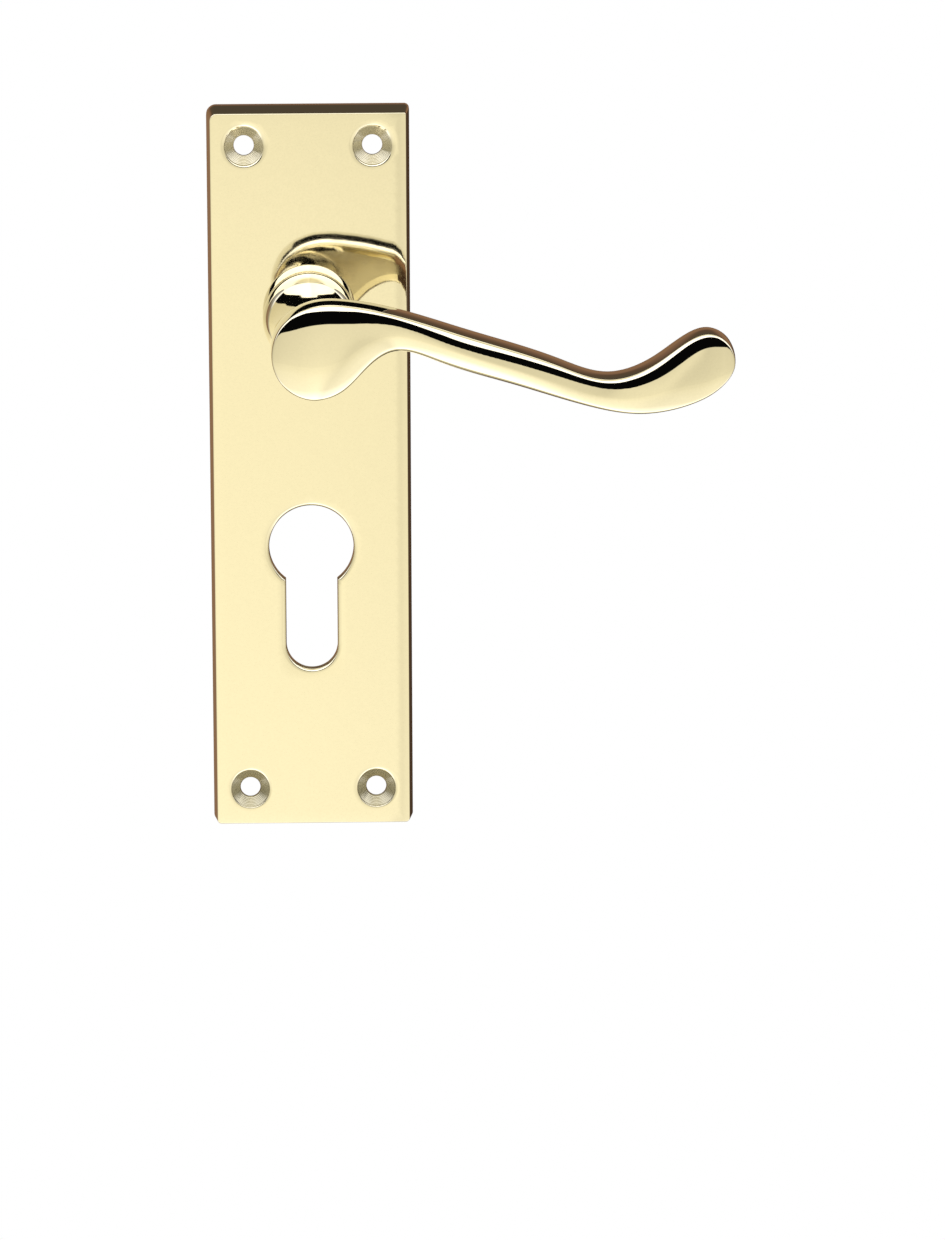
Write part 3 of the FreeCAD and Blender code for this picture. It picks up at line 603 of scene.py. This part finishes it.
def boolean(piece, other, operation):
    """Applies one exact boolean and removes the other object."""
    step = piece.modifiers.new("cut", "BOOLEAN")
    step.operation = operation
    step.solver = "EXACT"
    step.object = other
    view = bpy.context.evaluated_depsgraph_get()
    mesh = bpy.data.meshes.new_from_object(piece.evaluated_get(view))
    piece.modifiers.clear()
    piece.data = mesh
    bpy.data.objects.remove(other)


def make_lever(*materials):
    """materials: polished, ground, cast and, for the grip's back, linished."""
    low, high = corners("lever")
    lever = make_grip(-low.y, materials)
    boolean(lever, make_neck(high.y, materials), "UNION")
    # The grub screw's hole, drilled upwards into the socket.
    grub_low, grub_high = corners("grub_screw")
    drill = Shell()
    middle = -(grub_low.y + grub_high.y) / 2
    levels = (grub_low.z - 4.0, grub_high.z + 1.0)
    rings = []
    for level in levels:
        ring = circle(0.0, -middle, 2.5, 0.0, 64)
        rings.append(drill.loop(np.column_stack([ring[:, 0], ring[:, 2], np.full(64, level)])))
    drill.chain(rings, finish=1)
    drill.close(rings[0], finish=1)
    drill.close(rings[1], finish=1)
    boolean(lever, drill.piece("drill", materials), "DIFFERENCE")
    shade_smooth(lever)
    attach(lever, "lever")
    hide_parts("lever")
    lever.name = "lever_casting"


# ------------------------------------------------------------------ backplate
DRAFT = math.tan(math.radians(5.04))
WALL = 2.5
RECESS = 6.0
SCREW_PLACES = [(x, z) for x in (-13.0, 13.0) for z in (35.0, -99.0)]
# The cylinder cut-out: its centre below the spindle, its circle, and its slot's half width and lowest point.
CYLINDER_BELOW = 48.0
CYLINDER_RADIUS = 8.65
SLOT_HALF = 5.25
SLOT_DEPTH = 25.7


def plate_loop(shell, half, low, high, inset, y_of):
    """A rounded rectangle inset from the plate's back edge; y_of gives the height at each place.

    The corners are hand-finished, so each has its own radius."""
    x, bottom, top = half - inset, low + inset, high - inset
    radii = {"top right": 1.0, "top left": 2.0, "bottom left": 1.4, "bottom right": 1.4}
    r1, r2, r3, r4 = (max(radius - 0.8 * inset, 0.4) for radius in radii.values())
    places = []
    for cx, cz, r, start, straight in ((x - r1, top - r1, r1, 0, 12), (r2 - x, top - r2, r2, 90, 40),
                                       (r3 - x, bottom + r3, r3, 180, 12),
                                       (x - r4, bottom + r4, r4, 270, 40)):
        turn = np.radians(np.linspace(start, start + 90, 10))
        arc = np.column_stack([cx + r * np.cos(turn), cz + r * np.sin(turn)])
        places.append((arc, straight))
    points = []
    for k, (arc, straight) in enumerate(places):
        points += list(arc)
        towards = places[(k + 1) % 4][0][0]
        points += [arc[-1] + (towards - arc[-1]) * s / straight for s in range(1, straight)]
    points = np.array(points)
    return shell.loop(np.column_stack([points[:, 0], y_of(points[:, 0], points[:, 1]), points[:, 1]]))


def euro_loop(shell, centre, end, offset, front):
    """The cylinder cut-out's outline moved outwards by offset: most of a circle, and a round-ended slot."""
    r, w = CYLINDER_RADIUS + offset, SLOT_HALF + offset
    meet = math.asin(w / r)
    ring = np.linspace(-math.pi / 2 + meet, 1.5 * math.pi - meet, 90)
    points = [(r * math.cos(a), centre + r * math.sin(a)) for a in ring]
    start = centre - r * math.cos(meet)
    points += [(-w, start + (end - start) * s / 12) for s in range(1, 12)]
    points += [(w * math.cos(a), end + w * math.sin(a)) for a in np.linspace(math.pi, 2 * math.pi, 40)]
    points += [(w, end + (start - end) * s / 12) for s in range(1, 12)]
    return shell.loop([(x, -front, z) for x, z in points])


def make_backplate(*materials):
    """materials: polished, turned, cast, ground and, for the lower screw holes' cones, turned brass drawn
    darker as painted shade.
    """
    low, high = corners("backplate")
    half, face = high.x, -low.y
    shell = Shell()
    front_half = half - DRAFT * face
    front_top, front_low = high.z - DRAFT * face, low.z + DRAFT * face
    rolls = {"right": 5.5, "left": 1.0, "top": 1.0, "bottom": 2.5}
    roll_width = 2.2

    def face_y(x, z):
        """The polished face: flat, rolling off a little towards its edges, most at the right."""
        drop = np.zeros_like(x)
        gaps = {"right": front_half - x, "left": front_half + x}
        gaps |= {"top": front_top - z, "bottom": z - front_low}
        for side, gap in gaps.items():
            steep = math.tan(math.radians(rolls[side])) / (2 * roll_width)
            drop += steep * np.maximum(roll_width - np.maximum(gap, 0.0), 0.0) ** 2
        return drop - face

    def level(front):
        return lambda x, z: np.full_like(x, -front)

    def outer(inset, y_of):
        return plate_loop(shell, half, low.z, high.z, inset, y_of)

    edge, land = 0.16, 2.3
    base = DRAFT * face
    steep = (base - DRAFT * edge) / (face - edge - land)
    outside = [outer(0.12, level(0.0)), outer(0.03, level(0.03)), outer(0.0, level(0.12))]
    outside += [outer(0.0, level(0.5)), outer(0.0, level(land - 0.5)), outer(0.04 * steep, level(land))]
    outside += [outer(steep * (f - land), level(f)) for f in (land + 0.5, 3.5, 5.0, 6.5, face - 1.0)]
    outside.append(outer(base - DRAFT * edge, lambda x, z: face_y(x, z) + edge))
    for a in range(15, 91, 15):
        across, up = 1 - math.cos(math.radians(a)), 1 - math.sin(math.radians(a))
        outside.append(outer(base - DRAFT * edge + edge * across,
                             lambda x, z, up=up: face_y(x, z) + edge * up))
    outside += [outer(base + edge + d, face_y) for d in (0.15, 0.4, 0.7, 1.0)]
    shell.chain(outside)

    holes, floor_holes = [], []
    for x, z in SCREW_PLACES:
        hole, back = screw_hole(shell, x, z, face)
        holes.append(hole)
        floor_holes.append(back)

    # Cylinder cut-out: a softly worn rim, then a straight wall.
    centre = -CYLINDER_BELOW
    end = centre - SLOT_DEPTH + SLOT_HALF
    rims = [(0.95, 0.0), (0.75, 0.008), (0.55, 0.03), (0.38, 0.075), (0.25, 0.14), (0.15, 0.24),
            (0.08, 0.36), (0.03, 0.52), (0.005, 0.72), (0.0, 0.9), (0.0, 1.4), (0.0, face - RECESS)]
    euro = [euro_loop(shell, centre, end, offset, face - drop) for offset, drop in rims]
    shell.chain(euro[:9])
    shell.chain(euro[8:], finish=3)
    holes.append(euro[0])
    floor_holes.append(euro[-1])

    # Sleeve hole and its boss behind.
    bore = [(9.35, face), (9.1, face - 0.02), (8.98, face - 0.08), (8.92, face - 0.2), (8.9, face - 0.4)]
    bored = [shell.loop(circle(0, 0, r, f)) for r, f in bore]
    shell.chain(bored)
    holes.append(bored[0])
    boss = [(8.9, face - 0.4), (8.9, 2.6), (9.0, 2.5), (10.2, 2.5), (10.3, 2.6), (10.3, RECESS - 0.4),
            (10.42, RECESS - 0.12), (10.7, RECESS)]
    bossed = [bored[-1]] + [shell.loop(circle(0, 0, r, f)) for r, f in boss[1:]]
    shell.chain(bossed[:4], finish=3)
    shell.chain(bossed[3:], finish=2)
    floor_holes.append(bossed[-1])
    for z in (21.0, -21.0):
        fixing = [(3.5, RECESS), (3.28, RECESS - 0.12), (3.2, RECESS - 0.4), (3.2, 4.5), (3.1, 4.4),
                  (1.35, 4.4), (1.25, 4.5), (1.25, 7.0)]
        fixed = [shell.loop(circle(0, z, r, f, 48)) for r, f in fixing]
        shell.chain(fixed[:5], finish=2)
        shell.chain(fixed[4:], finish=3)
        shell.close(fixed[-1], finish=3)
        floor_holes.append(fixed[0])

    places = grid_inside((-half, half), (low.z, high.z), 0.8)
    margin = base + edge + 1.5
    keep = (np.abs(places[:, 0]) < half - margin) & (places[:, 1] > low.z + margin)
    keep &= places[:, 1] < high.z - margin
    for x, z, r in [(0, 0, 10.1), (0, centre, 10.2)] + [(x, z, 5.4) for x, z in SCREW_PLACES]:
        keep &= np.hypot(places[:, 0] - x, places[:, 1] - z) > r
    keep &= ~((np.abs(places[:, 0]) < 6.8) & (places[:, 1] < centre) & (places[:, 1] > end - 6.8))
    guards = [circle(0, 0, 9.55, 0)[:, ::2]] + [circle(x, z, 4.9, 0)[:, ::2] for x, z in SCREW_PLACES]
    places = np.vstack([places[keep], *guards])
    y = face_y(*places.T)
    shell.fill(outside[-1], holes, np.column_stack([places[:, 0], y, places[:, 1]]))

    # The ground rim, the recess and its cast floor.
    inner = [(WALL - 0.15, 0.0), (WALL, 0.12), (WALL + 0.06, 0.5), (WALL + DRAFT * 3, 3.0),
             (WALL + DRAFT * 5.4, 5.4), (WALL + DRAFT * RECESS + 0.03, 5.75),
             (WALL + DRAFT * RECESS + 0.15, 5.93), (WALL + DRAFT * RECESS + 0.4, RECESS)]
    recess = [outer(inset, level(front)) for inset, front in inner]
    shell.bridge(outside[0], recess[0], finish=3)
    shell.chain(recess, finish=2)
    places = grid_inside((-half, half), (low.z, high.z), 1.4)
    edge_in = WALL + DRAFT * RECESS + 1.0
    keep = (np.abs(places[:, 0]) < half - edge_in) & (places[:, 1] > low.z + edge_in)
    keep &= places[:, 1] < high.z - edge_in
    blocked = [(0, 0, 11.5), (0, 21, 4.3), (0, -21, 4.3), (0, centre, 9.6)]
    blocked += [(x, z, 3.0) for x, z in SCREW_PLACES]
    for x, z, r in blocked:
        keep &= np.hypot(places[:, 0] - x, places[:, 1] - z) > r
    keep &= ~((np.abs(places[:, 0]) < 6.2) & (places[:, 1] < centre) & (places[:, 1] > end - 6.2))
    places = places[keep]
    rough = np.array([noise.noise(Vector((x * 0.55, z * 0.55, 3.0))) for x, z in places])
    floor = np.column_stack([places[:, 0], rough * 0.05 - RECESS, places[:, 1]])
    shell.fill(recess[-1], floor_holes, floor, finish=2)
    plate = shell.piece("backplate_casting", materials)
    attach(plate, "backplate")
    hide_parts("backplate")


def screw_hole(shell, x, z, face):
    """A countersunk hole with a polished rim and turned rings on its cone. Gives its first and last loops."""
    count = 120
    turn = np.linspace(0, 2 * math.pi, count, endpoint=False)
    # The polishing wheel has worn the upper holes' rims most, and each rim most towards the upper right.
    worn = (1.0 if z > 0 else 0.6) * (1.0 + 0.35 * np.cos(turn - math.radians(50)))
    loops = []
    for out, drop in ((0.85, 0.0), (0.65, 0.01), (0.45, 0.035), (0.3, 0.07), (0.17, 0.115), (0.08, 0.16),
                      (0.02, 0.215)):
        ring = circle(x, z, 3.94, 0.0, count)
        outwards = np.column_stack([np.cos(turn), np.sin(turn)]) * (out * worn)[:, None]
        ring[:, 0] += outwards[:, 0]
        ring[:, 2] += outwards[:, 1]
        ring[:, 1] = drop * worn - face
        loops.append(shell.loop(ring))
    shell.chain(loops)
    cone = [loops[-1]]
    steps, grooves, cut = 36, 7, 0.014
    for k in range(1, steps + 1):
        share = k / steps
        ring = circle(x, z, 3.9 + (2.12 - 3.9) * share, 0.0, count)
        groove = cut * math.sin(2 * math.pi * grooves * share + x + 0.3 * z)
        chatter = 0.03 * np.sin(13 * turn + 2.0 * share) * np.maximum(np.cos(2 * turn + 0.02 * z), 0.0) ** 6
        ring[:, 1] = 0.3 + 1.55 * share - face + groove + chatter * min(1.0, 4 * share * (1.2 - share))
        cone.append(shell.loop(ring))
    # The lower holes' cones take the darker copy of turned brass, which paints shade on them.
    shell.chain(cone, finish=1 if z > 0 else 4)
    throat = [cone[-1]] + [shell.loop(circle(x, z, r, f, count))
                           for r, f in ((2.07, face - 1.93), (2.05, face - 2.05), (2.05, RECESS))]
    shell.chain(throat, finish=1)
    return loops[0], throat[-1]


# ------------------------------------------------------------------ return spring
def make_return_spring(steel):
    """The torsion spring's wire along its legs, bends and coil."""
    wire, coil, bend = 0.6, 12.3, 1.5
    levels = {"fixed": 4.5, "moving": 2.72}
    angles = {"fixed": 320.0, "moving": 200.0}
    sweep, reaches = 480.0, {"fixed": 16.3, "moving": 15.0}

    def leg(which, way):
        """From the leg's tip to where the coil takes over."""
        a = math.radians(angles[which])
        out = np.array([math.cos(a), 0.0, math.sin(a)])
        side = np.array([-math.sin(a), 0.0, math.cos(a)]) * way
        start = out * coil + np.array([0.0, -levels[which], 0.0])
        corner = start + out * bend + side * bend
        straight = [corner + out * (reaches[which] - coil - bend) * s for s in (1.0, 0.97, 0.5)]
        turns = np.radians(np.linspace(90, 0, 9))
        arc = [start + out * bend * (1 - math.cos(t)) + side * bend * math.sin(t) for t in turns]
        return straight + arc

    share = np.linspace(0, 1, 200)[1:-1, None]
    turn = np.radians(angles["fixed"] - sweep * share)
    rise = -levels["fixed"] + (levels["fixed"] - levels["moving"]) * share
    coiled = np.hstack([coil * np.cos(turn), rise, coil * np.sin(turn)])
    path = np.vstack([leg("fixed", 1), coiled, leg("moving", -1)[::-1]])
    along = np.gradient(path, axis=0)
    along /= np.linalg.norm(along, axis=1)[:, None]
    across = np.cross(along, (0.0, 1.0, 0.0))
    across /= np.linalg.norm(across, axis=1)[:, None]
    upward = np.cross(across, along)
    shell = Shell()
    around = np.linspace(0, 2 * math.pi, 18, endpoint=False)
    loops = []
    for k, place in enumerate(path):
        r = wire * (0.8 if k in (0, len(path) - 1) else 1.0)
        ring = [place + r * (math.cos(a) * across[k] + math.sin(a) * upward[k]) for a in around]
        loops.append(shell.loop(ring))
    shell.chain(loops)
    shell.close(loops[0])
    shell.close(loops[-1])
    spring = shell.piece("return_spring_wire", [steel])
    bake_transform(spring)
    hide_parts("return_spring")


# ------------------------------------------------------------------ assembly
make_camera()
make_world()
make_floor()
polished = polished_brass("polished_brass", 0.008, 0.02)
buffed = polished_brass("buffed_brass", 0.03, 0.055)
turned = lined_metal("turned_brass", (0.76, 0.715, 0.58), 0.22, (500, 500, 500), 0.000001, 0.08)
# A darker copy of turned brass for the lower screw holes' cones: painted shade, the same finish as the upper
# holes drawn darker.
turned_painted_shade = lined_metal("turned_brass_painted_shade", (0.58, 0.545, 0.43), 0.2, (500, 500, 500), 0.000001, 0.1)
linished = lined_metal("linished_brass", (0.68, 0.635, 0.52), 0.2, (120, 4000, 4000), 0.000002, 0.1)
ground = lined_metal("ground_brass", (0.86, 0.77, 0.54), 0.3, (300, 4000, 9000), 0.000004, 0.2)
satin = lined_metal("satin_brass", (0.80, 0.72, 0.52), 0.3, (250, 9000, 250), 0.000003, 0.15)
cast = grained_metal("cast_brass", (0.74, 0.64, 0.42), (0.42, 0.34, 0.22), 0.42, 1900.0, 0.00005)
zinc = grained_metal("zinc_plated_steel", (0.66, 0.68, 0.7), (0.56, 0.58, 0.6), 0.26, 2600.0, 0.000004)
spring_steel = lined_metal("spring_steel", (0.42, 0.43, 0.46), 0.28, (3000, 3000, 3000), 0.000003, 0.2)
black = grained_metal("black_phosphate", (0.032, 0.032, 0.036), (0.014, 0.014, 0.016), 0.42, 5200.0,
                      0.000006, 0.6)

make_lever(polished, ground, cast, linished)
make_backplate(buffed, turned, cast, ground, turned_painted_shade)
make_return_spring(spring_steel)

FINISHES = {"polished_brass": polished, "satin_brass": satin, "zinc_plated_steel": zinc,
            "spring_steel": spring_steel, "black_spring_steel": black}
slots = {part["node"]: part["material_slot"] for part in frame["record"]["subparts"]}
for name, node in frame["nodes"].items():
    node.data.materials.clear()
    node.data.materials.append(FINISHES[slots[name]])
scene.view_settings.view_transform = "Standard"
